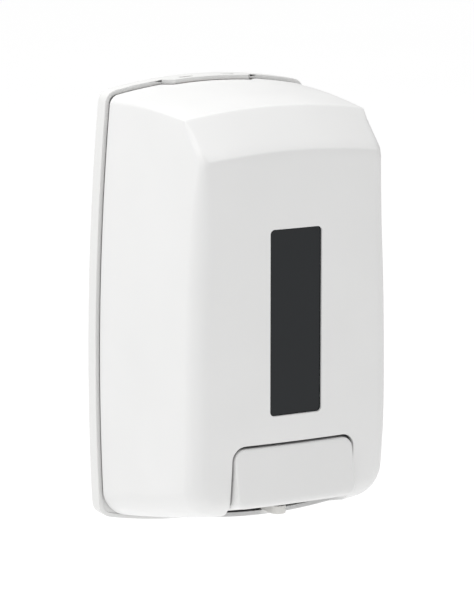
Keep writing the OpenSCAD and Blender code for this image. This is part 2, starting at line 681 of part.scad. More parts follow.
// ---- Filler cap ----
module fill_cap() color("whitesmoke") difference() {
    union() {
        translate([0, fill_y, tank_top + 1]) cylinder(r = cap_d / 2, h = fill_h + 2, $fn = 64);
        for (a = [0 : 20 : 340]) translate([0, fill_y, tank_top + 1]) rotate(a)
            translate([cap_d / 2 - 0.5, -1, 0]) cube([1.3, 2, fill_h + 1]);
        translate([-11, fill_y - 1.5, tank_top + fill_h + 3 - eps]) cube([22, 3, 4]);
    }
    translate([0, fill_y, tank_top]) cylinder(r = fill_r + fit, h = fill_h + 1.2, $fn = 64);
}

module fill_cap_seal() color("dimgray") translate([0, fill_y, tank_top + fill_h + 0.1]) difference() {
    cylinder(r = fill_r - 0.3, h = 1.1, $fn = 64);
    translate([0, 0, -1]) cylinder(r = fill_r - 3, h = 4, $fn = 64);
}

back_plate();
latch_guide();
latch_guide_screws();
latch_spring();
pump_bracket();
bracket_screws();
tank();
outlet_seal();
lock_nut();
pump_body();
pump_end_cap();
pump_spring();
nozzle();
duckbill_valve();
push_bar_pins();
push_bar_springs();
cover_hinge_pins();
front_cover();
cover_catch();
window();
window_frame();
push_bar();
piston_rod();
piston_seal();
lock_latch();
inlet_ball();
fill_cap();
fill_cap_seal();
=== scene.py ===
# %% [markdown]
# # A wall mounted push soap dispenser
# The object is a white moulded case on a flat back plate. A smoked window shows the tank, and a
# broad push bar at the foot works the pump. Every mechanical piece is loaded from the packed
# model, called the frame here. This lesson gives those pieces their real finish, and rebuilds the
# pieces that need finer curves than an engineering model has: the cover, the bar and the springs.
# Two small webs that the engineering model doesn't have close the plate's foot corners.

# %% Load the frame
import math
from collections import Counter

import bmesh
import bpy
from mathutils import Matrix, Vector, geometry


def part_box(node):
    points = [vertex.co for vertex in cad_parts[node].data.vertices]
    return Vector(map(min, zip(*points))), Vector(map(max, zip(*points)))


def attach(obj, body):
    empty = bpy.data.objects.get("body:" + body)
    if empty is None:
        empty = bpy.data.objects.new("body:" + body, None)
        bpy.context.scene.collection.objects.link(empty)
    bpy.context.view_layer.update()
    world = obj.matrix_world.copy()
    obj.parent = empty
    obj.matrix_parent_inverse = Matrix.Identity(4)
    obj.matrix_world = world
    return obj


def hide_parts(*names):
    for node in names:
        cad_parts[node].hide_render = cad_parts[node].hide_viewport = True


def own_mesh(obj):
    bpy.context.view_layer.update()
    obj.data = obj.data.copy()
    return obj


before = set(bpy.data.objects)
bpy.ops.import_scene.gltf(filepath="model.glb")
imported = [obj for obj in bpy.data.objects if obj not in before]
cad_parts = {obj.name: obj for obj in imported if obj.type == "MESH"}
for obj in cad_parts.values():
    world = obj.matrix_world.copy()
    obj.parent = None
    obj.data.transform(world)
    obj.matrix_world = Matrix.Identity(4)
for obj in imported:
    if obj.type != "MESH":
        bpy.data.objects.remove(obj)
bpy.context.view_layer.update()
MM = 0.001

# %% [markdown]
# ## Sizes
# The frame is in metres and the case was drawn in millimetres, so the lesson thinks in millimetres
# and turns them into metres when a mesh is made. Outer sizes are read from the frame, so that a
# new pack with another size still fits. Radii and falls, which a box can't tell, are named here.

# %% Read the outer sizes


def node_box(name):
    """Lowest and highest corner of a frame node, in millimetres."""
    low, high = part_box(name)
    return low / MM, high / MM


plate_high = node_box("back_plate")[1]
cover_low, cover_high = node_box("front_cover")
bar_low, bar_high = node_box("push_bar")
panel_low, panel_high = node_box("window")

half_h = plate_high.z
half_w = plate_high.x
cover_half_w = cover_high.x
cover_top = cover_high.z
rim_d = 8.8
parting_gap = 1.5
part_y = rim_d + parting_gap
case_d = -cover_low.y
window_recess = case_d + panel_low.y
window_t = panel_high.y - panel_low.y
panel_overlap = 3.0
window_half_w = panel_high.x - panel_overlap
window_half_h = (panel_high.z - panel_low.z) / 2 - panel_overlap
window_z = (panel_high.z + panel_low.z) / 2
bar_half = bar_high.x
bar_top_z = bar_high.z
print(f"case {2 * half_w:.1f} x {case_d:.1f} x {2 * half_h:.1f} mm, cover from {part_y:.1f} mm")

# %% Name the radii and falls
widest_z = -37.0
side_r = 1515.0
crown_r = 272.0
crease_crown_r = 1.41 * crown_r
draft = math.radians(4.3)
ledge = half_w - cover_half_w
plate_corner_r = 6.0
plate_foot_r = 7.0
cover_wall = 2.4
top_fall = 0.0786
top_belly = 1.2
chamfer_y = 20.0
chamfer_z = 20.6
crease_y = case_d - chamfer_y
crease_z = cover_top - top_fall * (crease_y - part_y)
crease_r = 0.7
soft_r = 8.0
front_r = 460.0
under_rise = 0.227
under_belly = 1.2
lean = 5.0
lean_z = -40.0
lean_reach = 58.0
cover_corner_r = plate_corner_r - ledge
cover_foot_r = 12.0
bar_gap = 1.2
cut_half = bar_half + bar_gap
cut_top_z = bar_top_z + bar_gap + 0.3
cut_corner_r = 7.2
under_cut_y = case_d - 28.0
notch_half = 27.8
notch_inner_half = 22.8
notch_y = part_y + 5.5
lug_inner_x = 13.6
lug_outer_x = 19.9
lug_notch_y = part_y + 6.5

# %% [markdown]
# ## The cover's surface as formulas
# The cover is a draft angled tub with barrel shaped sides, an arched top, a chamfer that slopes
# down from the top to the front, and one soft vertical edge on each side that fades out into the
# chamfer. Sculpting or subdividing a box would give bumps in the reflections, so each surface is a
# formula, and every mesh point is put exactly on it.

# %% Surfaces of the cover


def lerp(a, b, t):
    return a + (b - a) * t


def side_x(w, z):
    return w - (z - widest_z) ** 2 / (2 * side_r)


def arch(x):
    return x * x / (2 * crown_r)


def cover_w(y):
    return cover_half_w - math.tan(draft) * (y - part_y)


def top_z(y):
    belly = top_belly * math.sin(math.pi * (y - part_y) / (crease_y - part_y))
    return cover_top - top_fall * (y - part_y) + belly


def under_z(y):
    belly = under_belly * math.sin(math.pi * (y - part_y) / (case_d - part_y))
    return -cover_top + under_rise * (y - part_y) - belly


def front_y(x, z):
    """Depth of the crowned front face, which falls back a little at its foot."""
    return case_d - x * x / (2 * front_r) - lean * (max(0.0, lean_z - z) / lean_reach) ** 2


def slope_y(x, z):
    """Depth of the chamfer between the top and the front."""
    return crease_y + (crease_z - x * x / crease_crown_r - z) * chamfer_y / chamfer_z


def face_y(x, z, blend=0.35):
    """Depth of front or chamfer, whichever is nearer the wall, with a small round between them."""
    a = front_y(x, z)
    b = slope_y(x, z)
    return (a + b) / 2 - math.sqrt(((a - b) / 2) ** 2 + blend * blend)


def corner_point(w, z0, up):
    """Where the barrel side meets the arched top (up 1) or foot (up -1)."""
    x = side_x(w, z0 - up * arch(side_x(w, z0)))
    return x, z0 - up * arch(x)


def corner_bend(a, corner, b, t):
    """Round between two straight runs, as a circular arc where they meet at a right angle."""
    arc_weight = 1.414
    wa, wc, wb = (1 - t) ** 2, arc_weight * t * (1 - t), t * t
    total = wa + wc + wb
    return tuple((wa * i + wc * j + wb * k) / total for i, j, k in zip(a, corner, b))


print("chamfer from", round(crease_z, 1), "mm down to", round(crease_z - chamfer_z, 1), "mm")

# %% [markdown]
# ## Columns round the case
# A closed outline, seen from the front, is cut into columns. Each column has a place on one of
# five stretches: foot, foot corner, side, top corner and top. The same column exists at every
# depth, so rings of points join into clean quads. Columns stand exactly where an opening begins,
# so notches are made by leaving quads out, and no boolean is needed.

# %% Lay out the columns
side_steps = 46
corner_steps = 8
foot_marks_counts = (5, 3, 6, 5)
top_marks_counts = (12, 8)


def spread(marks, counts):
    """Values that step evenly between each pair of marks, without the last mark."""
    return [lerp(a, b, i / n) for a, b, n in zip(marks, marks[1:], counts) for i in range(n)]


def half_columns(foot_counts, top_counts):
    """Columns of the right half from the middle of the foot to the middle of the top."""
    foot = [("foot", u) for u in spread(range(len(foot_counts) + 1), foot_counts)]
    foot_corner = [("foot_corner", i / corner_steps) for i in range(corner_steps)]
    side = [("side", i / side_steps) for i in range(side_steps)]
    top_corner = [("top_corner", i / corner_steps) for i in range(corner_steps)]
    top = [("top", u) for u in spread(range(len(top_counts) + 1), top_counts)]
    return foot + foot_corner + side + top_corner + top + [("top", float(len(top_counts)))]


def place_between(marks, u):
    """Value at place u, where 0, 1, 2... are the marks."""
    i = min(int(u), len(marks) - 2)
    return lerp(marks[i], marks[i + 1], u - i)


def outline_point(column, w, top, foot, r_top, r_foot, foot_marks, top_marks):
    """X and Z of one column on an outline of half width w."""
    part, u = column
    cx, cz = corner_point(w, foot, -1)
    tx, tz = corner_point(w, top, 1)
    if part == "foot":
        x = place_between([*foot_marks, cx - r_foot], u)
        return x, foot + arch(x)
    if part == "top":
        x = place_between([tx - r_top, *top_marks], u)
        return x, top - arch(x)
    low = (side_x(w, cz + r_foot), cz + r_foot)
    high = (side_x(w, tz - r_top), tz - r_top)
    if part == "foot_corner":
        x = cx - r_foot
        return corner_bend((x, foot + arch(x)), (cx, cz), low, u)
    if part == "top_corner":
        x = tx - r_top
        return corner_bend(high, (tx, tz), (x, top - arch(x)), u)
    z = lerp(low[1], high[1], u)
    return side_x(w, z), z


def inward(column):
    """Direction in X and Z in which the soft edge of the right half is set in."""
    part, u = column
    a = {"foot": 0, "foot_corner": u, "side": 1, "top_corner": 1 + u, "top": 2}[part] * math.pi / 2
    return -math.sin(a), math.cos(a)


cover_columns = half_columns(foot_marks_counts, top_marks_counts)
print("columns in half an outline:", len(cover_columns))

# %% [markdown]
# ## Rings of the cover
# Rings run from the rear edge to the start of the soft edge. Where the side meets the face, the
# depth of the meeting point is found by a few rounds of substitution, which settle quickly because
# both surfaces lie nearly square to each other. The soft edge is an arc between the two.

# %% Points of one cover ring
crease_fall = 1 / 652
crease_low_z = crease_z - chamfer_z
crease_side_drop = 3.0
crease_side_z = crease_low_z - crease_side_drop
crease_end_r = 3.2
crease_end_x = side_x(cover_w(case_d - crease_end_r), crease_side_z) - crease_end_r
crease_end_z = crease_low_z - crease_fall * crease_end_x**2
soft_fade = 50.0
tip_r = 3.0
tip_setback = 3.0
tip_y = crease_y - tip_setback
settle_rounds = 8
tip_z = top_z(tip_y) - arch(cover_w(tip_y))


def cover_corner(y):
    """Radius of the top corner, which fades out towards the tip of the crease."""
    t = min(1.0, (y - part_y) / (tip_y - part_y))
    return lerp(cover_corner_r, crease_r, t**0.8)


def cover_point(column, y):
    t = max(0.0, min(1.0, (y - part_y) / (notch_y - part_y)))
    return outline_point(
        column,
        cover_w(y),
        top_z(y),
        under_z(y),
        cover_corner(y),
        cover_foot_r,
        [0.0, lug_inner_x, lug_outer_x, cut_half],
        [lerp(notch_half, notch_inner_half, t), 0.0],
    )


def meeting_depth(column):
    """Depth at which a column of the side, top or foot runs into the face."""
    y = crease_y
    for _ in range(settle_rounds):
        y = face_y(*cover_point(column, y))
    return y


def edge_radius(column):
    """Radius of the edge round the face: soft on the sides, crisp along the chamfer's top."""
    if column[0] in ("foot", "foot_corner"):
        return soft_r
    if column[0] != "side":
        return crease_r
    z = cover_point(column, case_d - soft_r)[1]
    if z < crease_end_z:
        t = max(0.0, 1 - (crease_end_z - z) / soft_fade)
        return lerp(soft_r, crease_end_r, t * t)
    t = min(1.0, (z - crease_end_z) / (tip_z - crease_end_z))
    return lerp(crease_end_r, tip_r, t)


edge_steps = 10
wall_steps = 9
fore_steps = 4
rear_depths = [part_y, part_y + 1.4, part_y + 3.2, notch_y, lug_notch_y]
rear_depths += spread([lug_notch_y, under_cut_y], [wall_steps])[1:] + [under_cut_y]


def cover_half_rings():
    """Rings of the right half, each a list of (x, y, z), from the rear edge to the face."""
    rings = []
    for y in rear_depths:
        points = [cover_point(c, y) for c in cover_columns]
        rings.append([(x, y, z) for x, z in points])
    meets = [meeting_depth(c) for c in cover_columns]
    starts = [m - edge_radius(c) for m, c in zip(meets, cover_columns)]
    for k in range(1, fore_steps + 1):
        depths = [lerp(under_cut_y, s, k / fore_steps) for s in starts]
        points = [cover_point(c, y) for c, y in zip(cover_columns, depths)]
        rings.append([(p[0], y, p[1]) for p, y in zip(points, depths)])
    arcs = []
    for column, meet, start in zip(cover_columns, meets, starts):
        r = edge_radius(column)
        x0, z0 = cover_point(column, start)
        xc, zc = cover_point(column, meet)
        nx, nz = inward(column)
        xb, zb = xc + nx * r, zc + nz * r
        a, corner, b = (x0, start, z0), (xc, meet, zc), (xb, face_y(xb, zb), zb)
        arcs.append([corner_bend(a, corner, b, j / edge_steps) for j in range(1, edge_steps + 1)])
    return rings + [[arc[j] for arc in arcs] for j in range(edge_steps)]


half_rings = cover_half_rings()
print("cover rings:", len(half_rings), "of", 2 * len(cover_columns) - 2, "points")

# %% [markdown]
# ## A small mesh kit
# Points are collected in a list that knows its own places, so a point used twice is stored once.
# The flat looking fields of a shell, such as the face round the window, have openings with round
# corners. A constrained Delaunay triangulation fills them: it keeps every outline that it is given
# and adds well shaped triangles between, and a formula then lifts each point to its depth.

# %% Collect points and faces


class Shell:
    """Points in millimetres with Y counted from the wall, faces, and a wall thickness per point."""

    def __init__(self, wall=1.0):
        self.points, self.faces, self.walls, self.places = [], [], [], {}
        self.wall = wall

    def add(self, x, y, z, wall=None):
        key = (round(x, 4), round(y, 4), round(z, 4))
        if key not in self.places:
            self.places[key] = len(self.points)
            self.points.append((x, y, z))
            self.walls.append(self.wall if wall is None else wall)
        return self.places[key]

    def face(self, *ids):
        ids = [i for k, i in enumerate(ids) if i != ids[k - 1]]
        if len(ids) > 2:
            self.faces.append(ids)

    def loft(self, rings, keep=lambda k, i: True, closed=True):
        """Quads between rings of ids; keep(k, i) says which quads are wanted."""
        count = len(rings[0])
        for k in range(len(rings) - 1):
            for i in range(count if closed else count - 1):
                j = (i + 1) % count
                if keep(k, i):
                    self.face(rings[k][i], rings[k][j], rings[k + 1][j], rings[k + 1][i])

    def fill(self, loop, inner, depth, inside, spacing, wall=None):
        """Triangles over a field in X and Z: loop is its outline, inner its other outlines."""
        flat, edges, exact = [], [], []
        for outline, is_closed in [(loop, True), *inner]:
            first, count = len(flat), len(outline)
            flat += [Vector(p) for p in outline]
            exact += outline
            links = count if is_closed else count - 1
            edges += [(first + i, first + (i + 1) % count) for i in range(links)]
        fixed = list(flat)
        clearance = 0.62 * spacing
        low = [min(p[k] for p in loop) for k in (0, 1)]
        high = [max(p[k] for p in loop) for k in (0, 1)]
        rows = math.ceil((high[1] - low[1]) / spacing)
        across = math.ceil((high[0] - low[0]) / spacing)
        for row in range(1, rows):
            for i in range(1, across):
                p = Vector((low[0] + (i + 0.5 * (row % 2)) * spacing, low[1] + row * spacing))
                if min((p - q).length_squared for q in fixed) > clearance**2:
                    flat.append(p)
        out = geometry.delaunay_2d_cdt(flat, edges, [list(range(len(loop)))], 1, 1e-7)
        for triangle in out[2]:
            middle = sum((out[0][i] for i in triangle), Vector((0, 0))) / 3
            if inside(middle.x, middle.y):
                ids = []
                for i in triangle:
                    source = out[3][i]
                    x, z = exact[source[0]] if source and source[0] < len(exact) else out[0][i]
                    ids.append(self.add(x, depth(x, z), z, wall and wall(x, z)))
                self.face(*ids)


def make_object(name, shell):
    """Mesh object in metres; the front faces -Y, so Y changes its sign."""
    mesh = bpy.data.meshes.new(name)
    mesh.from_pydata([(x * MM, -y * MM, z * MM) for x, y, z in shell.points], [], shell.faces)
    mesh.validate()
    mesh.shade_smooth()
    piece = bpy.data.objects.new(name, mesh)
    bpy.context.scene.collection.objects.link(piece)
    return piece


# %% Helpers for outlines


def mirror_ring(shell, half, wall=None):
    """Ids of a closed ring from its right half, which runs from foot middle to top middle."""
    right = [shell.add(x, y, z, wall) for x, y, z in half]
    left = [shell.add(-x, y, z, wall) for x, y, z in half[-2:0:-1]]
    return right + left


def round_box(half_x, half_z, r, middle_z=0.0, pitch=2.0, steps=6):
    """Points of a rounded rectangle in X and Z, anticlockwise from the lower right."""
    points = []
    for quarter, (sx, sz) in enumerate([(1, -1), (1, 1), (-1, 1), (-1, -1)]):
        cx, cz = sx * (half_x - r), sz * (half_z - r)
        for i in range(steps + 1):
            a = (quarter - 1 + i / steps) * math.pi / 2
            points.append((cx + r * math.cos(a), middle_z + cz + r * math.sin(a)))
    full = []
    for a, b in zip(points, points[1:] + points[:1]):
        n = max(1, round(math.dist(a, b) / pitch))
        full += [(lerp(a[0], b[0], i / n), lerp(a[1], b[1], i / n)) for i in range(n)]
    return full


def box_distance(x, z, half_x, half_z, r, middle_z=0.0):
    """Distance outside a rounded rectangle, negative inside."""
    dx = abs(x) - half_x + r
    dz = abs(z - middle_z) - half_z + r
    return math.hypot(max(dx, 0), max(dz, 0)) + min(max(dx, dz), 0) - r


print("mesh kit ready")

# %% [markdown]
# ## The front cover
# The real cover is one moulding about 2.4 mm thick, with a seat round the window where the panel
# is let in from behind. Its outer skin is made of the rings and one triangulated face, and a
# Solidify modifier gives it a wall. The wall's thickness is stored per point, which makes the seat
# and the thick frame round it without any extra surfaces. A fine bevel rounds each cut edge.

# %% Build the cover's skin
window_corner_r = 2.4
seat_reach = panel_overlap + 0.1
seat_step = 0.2
frame_reach = 6.0
frame_step = 0.3
thick_wall = window_recess + window_t
face_pitch = 3.2


def window_loop(grow):
    return round_box(window_half_w + grow, window_half_h + grow, window_corner_r + grow, window_z)


def window_distance(x, z):
    return box_distance(x, z, window_half_w, window_half_h, window_corner_r, window_z)


def cover_wall_at(x, z):
    """Wall at a point of the face: thin over the seat, thick round it, plain elsewhere."""
    d = window_distance(x, z)
    if d < seat_reach + seat_step / 2:
        return face_y(x, z) - (case_d - window_recess)
    return thick_wall if d < frame_reach + frame_step / 2 else cover_wall


def in_bar_cut(x, z):
    if abs(x) > cut_half or z > cut_top_z:
        return False
    dx = abs(x) - (cut_half - cut_corner_r)
    dz = z - (cut_top_z - cut_corner_r)
    return not (dx > 0 and dz > 0 and math.hypot(dx, dz) > cut_corner_r)


def cut_path(start_z):
    """Edge of the push bar's opening across the face, from the left foot to the right foot."""
    z_arc = cut_top_z - cut_corner_r
    x_arc = cut_half - cut_corner_r
    rise_steps, arc_steps, across_steps = 9, 7, 12
    rise = [(cut_half, lerp(start_z, z_arc, i / rise_steps)) for i in range(1, rise_steps)]
    arc = []
    for i in range(arc_steps + 1):
        a = math.pi / 2 * i / arc_steps
        arc.append((x_arc + cut_corner_r * math.cos(a), z_arc + cut_corner_r * math.sin(a)))
    across = [(x_arc * (1 - i / across_steps), cut_top_z) for i in range(1, across_steps + 1)]
    right = rise + arc + across
    return [(-x, z) for x, z in right[:-1]] + right[::-1]


def build_cover():
    shell = Shell(cover_wall)
    rings = [mirror_ring(shell, half) for half in half_rings]
    count = len(rings[0])
    half_count = len(cover_columns)
    kinds = cover_columns + cover_columns[-2:0:-1]
    notch_ring = rear_depths.index(notch_y)
    lug_ring = rear_depths.index(lug_notch_y)
    cut_ring = len(rear_depths) - 1

    def keep(k, i):
        pair = (kinds[i], kinds[(i + 1) % count])
        places = [u for part, u in pair if part == "foot"]
        if len(places) == 2:
            if k >= cut_ring and max(places) <= 3:
                return False
            if k < lug_ring and min(places) >= 1 and max(places) <= 2:
                return False
        tops = [u for part, u in pair if part == "top"]
        return not (len(tops) == 2 and k < notch_ring and min(tops) >= 1)

    shell.loft(rings, keep)
    cut_column = cover_columns.index(("foot", 3.0))
    rim = [(half_rings[-1][i][0], half_rings[-1][i][2]) for i in range(cut_column, half_count)]
    outline = rim + [(-x, z) for x, z in rim[-2::-1]] + cut_path(rim[0][1])
    crease_lines = []
    half_steps, reach, crease_step = 24, 0.975, 0.7
    xs = [crease_end_x * reach * (i / half_steps - 1) for i in range(2 * half_steps + 1)]
    for offset in (-crease_step, 0.0, crease_step):
        crease_lines.append(([(x, crease_low_z - crease_fall * x * x + offset) for x in xs], False))
    reaches = (0, seat_reach, seat_reach + seat_step, frame_reach, frame_reach + frame_step)
    loops = [(window_loop(reach), True) for reach in reaches]
    shell.fill(
        outline,
        loops + crease_lines,
        face_y,
        lambda x, z: window_distance(x, z) > 0 and not in_bar_cut(x, z),
        face_pitch,
        cover_wall_at,
    )
    return shell


cover_shell = build_cover()
print("cover skin:", len(cover_shell.points), "points,", len(cover_shell.faces), "faces")

# %% [markdown]
# ## Effects that several finishes share
# Moulded plastic isn't perfectly smooth: the steel mould leaves a very fine grain, the melt leaves
# slow waves, and hands leave patches that are a little shinier. Each effect is one node group with
# named sockets, built once and placed in every finish with its own values. All of them measure in
# object space, which is in metres here, so their sizes are real ones.

# %% Group tools


def new_group(name, inputs, outputs):
    """Empty shader node group with float inputs {name: default} and outputs {name: type}."""
    group = bpy.data.node_groups.new(name, "ShaderNodeTree")
    for label, default in inputs.items():
        socket = group.interface.new_socket(label, in_out="INPUT", socket_type="NodeSocketFloat")
        socket.default_value = default
    for label, kind in outputs.items():
        group.interface.new_socket(label, in_out="OUTPUT", socket_type=kind)
    return group, group.nodes.new("NodeGroupInput"), group.nodes.new("NodeGroupOutput")


def put(tree, kind, settings=None, **links):
    """New node with its settings; links give its input sockets a number, colour or other socket."""
    node = tree.nodes.new(kind)
    for label, value in (settings or {}).items():
        setattr(node, label, value)
    for label, value in links.items():
        key = int(label[1:]) if label[0] == "i" and label[1:].isdigit() else label.replace("_", " ")
        if isinstance(value, bpy.types.NodeSocket):
            tree.links.new(value, node.inputs[key])
        else:
            node.inputs[key].default_value = value
    return node


def object_space(tree):
    return put(tree, "ShaderNodeTexCoord").outputs["Object"]


def one_over(tree, size):
    """Texture scale that gives features of this size."""
    return put(tree, "ShaderNodeMath", {"operation": "DIVIDE"}, i0=1.0, i1=size).outputs[0]


def noise(tree, place, scale, detail, roughness=0.5):
    texture = put(tree, "ShaderNodeTexNoise", Vector=place, Scale=scale, Detail=detail)
    texture.inputs["Roughness"].default_value = roughness
    return texture.outputs[0]


def blend(tree, share, a, b):
    """Float that runs from a to b with share."""
    return put(tree, "ShaderNodeMix", {"data_type": "FLOAT"}, Factor=share, A=a, B=b).outputs[0]


# %% Moulded grain


def moulded_grain_group():
    """Fine spark-eroded grain over slow sink waves, as one height and one tone mask."""
    group, into, out = new_group(
        "Moulded grain",
        {"Grain size": 0.0005, "Wave size": 0.03, "Wave share": 0.4},
        {"Height": "NodeSocketFloat", "Tone": "NodeSocketFloat"},
    )
    place = object_space(group)
    fine = noise(group, place, one_over(group, into.outputs["Grain size"]), 2.0, 0.6)
    wave = noise(group, place, one_over(group, into.outputs["Wave size"]), 1.0, 0.4)
    height = blend(group, into.outputs["Wave share"], fine, wave)
    group.links.new(height, out.inputs["Height"])
    group.links.new(wave, out.inputs["Tone"])
    return group


def handling_group():
    """Patches where hands have polished or dulled the surface, as a mask from 0 to 1."""
    group, into, out = new_group(
        "Handling", {"Patch size": 0.02, "Streaks": 0.3}, {"Mask": "NodeSocketFloat"}
    )
    place = object_space(group)
    patch = noise(group, place, one_over(group, into.outputs["Patch size"]), 4.0, 0.62)
    squeeze = put(group, "ShaderNodeMapping", Vector=place, Scale=(420.0, 420.0, 18.0))
    streak = noise(group, squeeze.outputs[0], 1.0, 2.0)
    both = blend(group, into.outputs["Streaks"], patch, streak)
    spread_out = put(group, "ShaderNodeMapRange", Value=both, i1=0.35, i2=0.65)
    group.links.new(spread_out.outputs[0], out.inputs["Mask"])
    return group


moulded_grain = moulded_grain_group()
handling = handling_group()
print("groups:", moulded_grain.name, "and", handling.name)

# %% [markdown]
# ## Moulded plastics
# Case, bar, chassis, pump, latch and caps are all injection moulded, so they share one recipe with
# different colours and grain: a base colour that drifts by a hair with the sink waves, roughness
# that varies where it is handled, and a bump from the grain.

# %% Plastic finishes


def place_group(tree, group, **values):
    node = tree.nodes.new("ShaderNodeGroup")
    node.node_tree = group
    for label, value in values.items():
        node.inputs[label.replace("_", " ")].default_value = value
    return node


def ramp(tree, mask, low, high):
    """Number that runs from low to high with a mask."""
    return put(tree, "ShaderNodeMapRange", Value=mask, i3=low, i4=high).outputs[0]


def tint(tree, mask, dark, light):
    """Colour that runs from dark to light with a mask."""
    node = put(tree, "ShaderNodeMix", {"data_type": "RGBA"}, Factor=mask)
    node.inputs["A"].default_value = (*dark, 1)
    node.inputs["B"].default_value = (*light, 1)
    return node.outputs["Result"]


def shade(colour, k):
    return tuple(min(1.0, c * k) for c in colour)


def plastic(name, colour, rough, grain_size, depth, drift=0.02, **constants):
    """Moulded plastic; depth is the bump's height in millimetres."""
    finish = bpy.data.materials.new(name)
    finish.use_nodes = True
    tree = finish.node_tree
    shader = tree.nodes["Principled BSDF"]
    grain = place_group(tree, moulded_grain, Wave_size=0.035, Wave_share=0.25)
    grain.inputs["Grain size"].default_value = grain_size * MM
    marks = place_group(tree, handling, Patch_size=0.022, Streaks=0.25)
    base = tint(tree, grain.outputs["Tone"], shade(colour, 1 - drift), shade(colour, 1 + drift))
    tree.links.new(base, shader.inputs["Base Color"])
    dulled = ramp(tree, marks.outputs["Mask"], rough * 0.9, rough * 1.1)
    tree.links.new(dulled, shader.inputs["Roughness"])
    bump = put(tree, "ShaderNodeBump", Strength=1.0, Distance=depth * MM, Height=grain.outputs["Height"])
    tree.links.new(bump.outputs[0], shader.inputs["Normal"])
    for label, value in constants.items():
        shader.inputs[label.replace("_", " ")].default_value = value
    return finish


case_finish = plastic("case_white", (0.83, 0.83, 0.825), 0.42, 0.45, 0.012)
plate_finish = plastic("plate_white", (0.80, 0.80, 0.79), 0.46, 0.5, 0.014)
chassis_finish = plastic("chassis_grey", (0.70, 0.71, 0.72), 0.5, 0.6, 0.02)
white_part_finish = plastic("white_nylon", (0.80, 0.79, 0.76), 0.48, 0.7, 0.02)
pump_finish = plastic("pump_black", (0.022, 0.023, 0.025), 0.42, 0.5, 0.02)
latch_finish = plastic("latch_orange", (0.80, 0.22, 0.03), 0.42, 0.5, 0.02)
rubber_finish = plastic("rubber", (0.035, 0.035, 0.036), 0.75, 0.35, 0.03, 0.1)
silicone_finish = plastic(
    "silicone", (0.72, 0.74, 0.74), 0.45, 0.4, 0.02, Subsurface_Weight=0.3, Subsurface_Scale=0.002
)
tank_finish = plastic(
    "tank_milky", (0.86, 0.89, 0.90), 0.36, 0.8, 0.02, Transmission_Weight=0.35, IOR=1.5
)
window_finish = plastic(
    "smoked_panel", (0.006, 0.008, 0.010), 0.1, 2.0, 0.002, 0.05, Specular_IOR_Level=0.32
)
print("plastic finishes made")

# %% [markdown]
# ## Steel
# The springs, screws and pins are zinc plated steel: metallic, a little blue grey, with spangle
# from the plating and fine drawing lines. Metal shows only through what it reflects, so roughness
# does most of the work.

# %% Zinc plated steel


def zinc_steel():
    finish = bpy.data.materials.new("zinc_steel")
    finish.use_nodes = True
    tree = finish.node_tree
    shader = tree.nodes["Principled BSDF"]
    shader.inputs["Metallic"].default_value = 1.0
    crystals = put(tree, "ShaderNodeTexVoronoi", Vector=object_space(tree), Scale=1400.0)
    marks = place_group(tree, handling, Patch_size=0.006, Streaks=0.6)
    base = tint(tree, crystals.outputs["Distance"], (0.56, 0.57, 0.60), (0.68, 0.69, 0.70))
    tree.links.new(base, shader.inputs["Base Color"])
    tree.links.new(ramp(tree, marks.outputs["Mask"], 0.24, 0.42), shader.inputs["Roughness"])
    bump = put(tree, "ShaderNodeBump", Distance=0.01 * MM, Height=crystals.outputs["Distance"])
    tree.links.new(bump.outputs[0], shader.inputs["Normal"])
    return finish


steel_finish = zinc_steel()
print("steel finish made")

# %% Give the cover its wall and rounded cut edges


def wall_up(piece, shell, thickest):
    """Solidify with the wall stored per point."""
    group = piece.vertex_groups.new(name="wall")
    for i, wall in enumerate(shell.walls):
        group.add([i], wall / thickest, "REPLACE")
    solid = piece.modifiers.new("Wall", "SOLIDIFY")
    solid.thickness = thickest * MM
    solid.offset = -1
    solid.use_even_offset = True
    solid.use_quality_normals = True
    solid.vertex_group = group.name


def mark_rims(piece):
    """Bevel weight on the open edges of a skin, which are its cut edges once it has a wall."""
    mesh = piece.data
    uses = Counter(key for face in mesh.polygons for key in face.edge_keys)
    weights = mesh.attributes.new("bevel_weight_edge", "FLOAT", "EDGE")
    for edge in mesh.edges:
        weights.data[edge.index].value = 1.0 if uses[edge.key] == 1 else 0.0


sharp_angle = math.radians(35.0)
edge_round = 0.3


def soften(piece, width, limit="ANGLE"):
    """Small round on the sharp or marked edges, with normals that stay flat beside it."""
    bevel = piece.modifiers.new("Edge", "BEVEL")
    bevel.width = width * MM
    bevel.segments = 2
    bevel.limit_method = limit
    bevel.angle_limit = sharp_angle
    bevel.harden_normals = True
    bevel.use_clamp_overlap = False


def hand_over(piece, body, slot, material, *nodes):
    """Rides the piece on its body, gives it its finish, and stands it for its nodes; slot is not used."""
    piece.data.materials.append(material)
    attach(piece, body)
    if nodes:
        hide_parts(*nodes)


cover = make_object("cover_shell", cover_shell)
mark_rims(cover)
wall_up(cover, cover_shell, thick_wall)
soften(cover, edge_round, limit="WEIGHT")
hand_over(cover, "cover", "case", case_finish, "front_cover")
print("cover wall:", cover_wall, "mm, thickest", round(thick_wall, 1), "mm")

# %% [markdown]
# ## Ears inside the cover
# Inside, the cover carries two hinge ears at its foot and two ears that hold the push bar's pins.
# They are small prisms with round ends, so one helper turns a side profile into a solid, and a
# bevel softens it.

# %% Prisms along X


def prism(shell, profile, x0, x1):
    """Closed solid with a side profile of (y, z) points, from x0 to x1."""
    left = [shell.add(x0, y, z) for y, z in profile]
    right = [shell.add(x1, y, z) for y, z in profile]
    shell.loft([left, right])
    shell.face(*left)
    shell.face(*right[::-1])


def round_end(y, z, r, away_y, rise=0.0, steps=20):
    """Profile of an ear: a round of radius r about (y, z) on a web that runs to depth away_y."""
    turns = [math.pi / 2 + math.pi * i / steps for i in range(steps + 1)]
    ring = [(y + r * math.cos(a), z + r * math.sin(a)) for a in turns]
    return [(away_y, z + r + rise), *ring, (away_y, z - r + rise)]


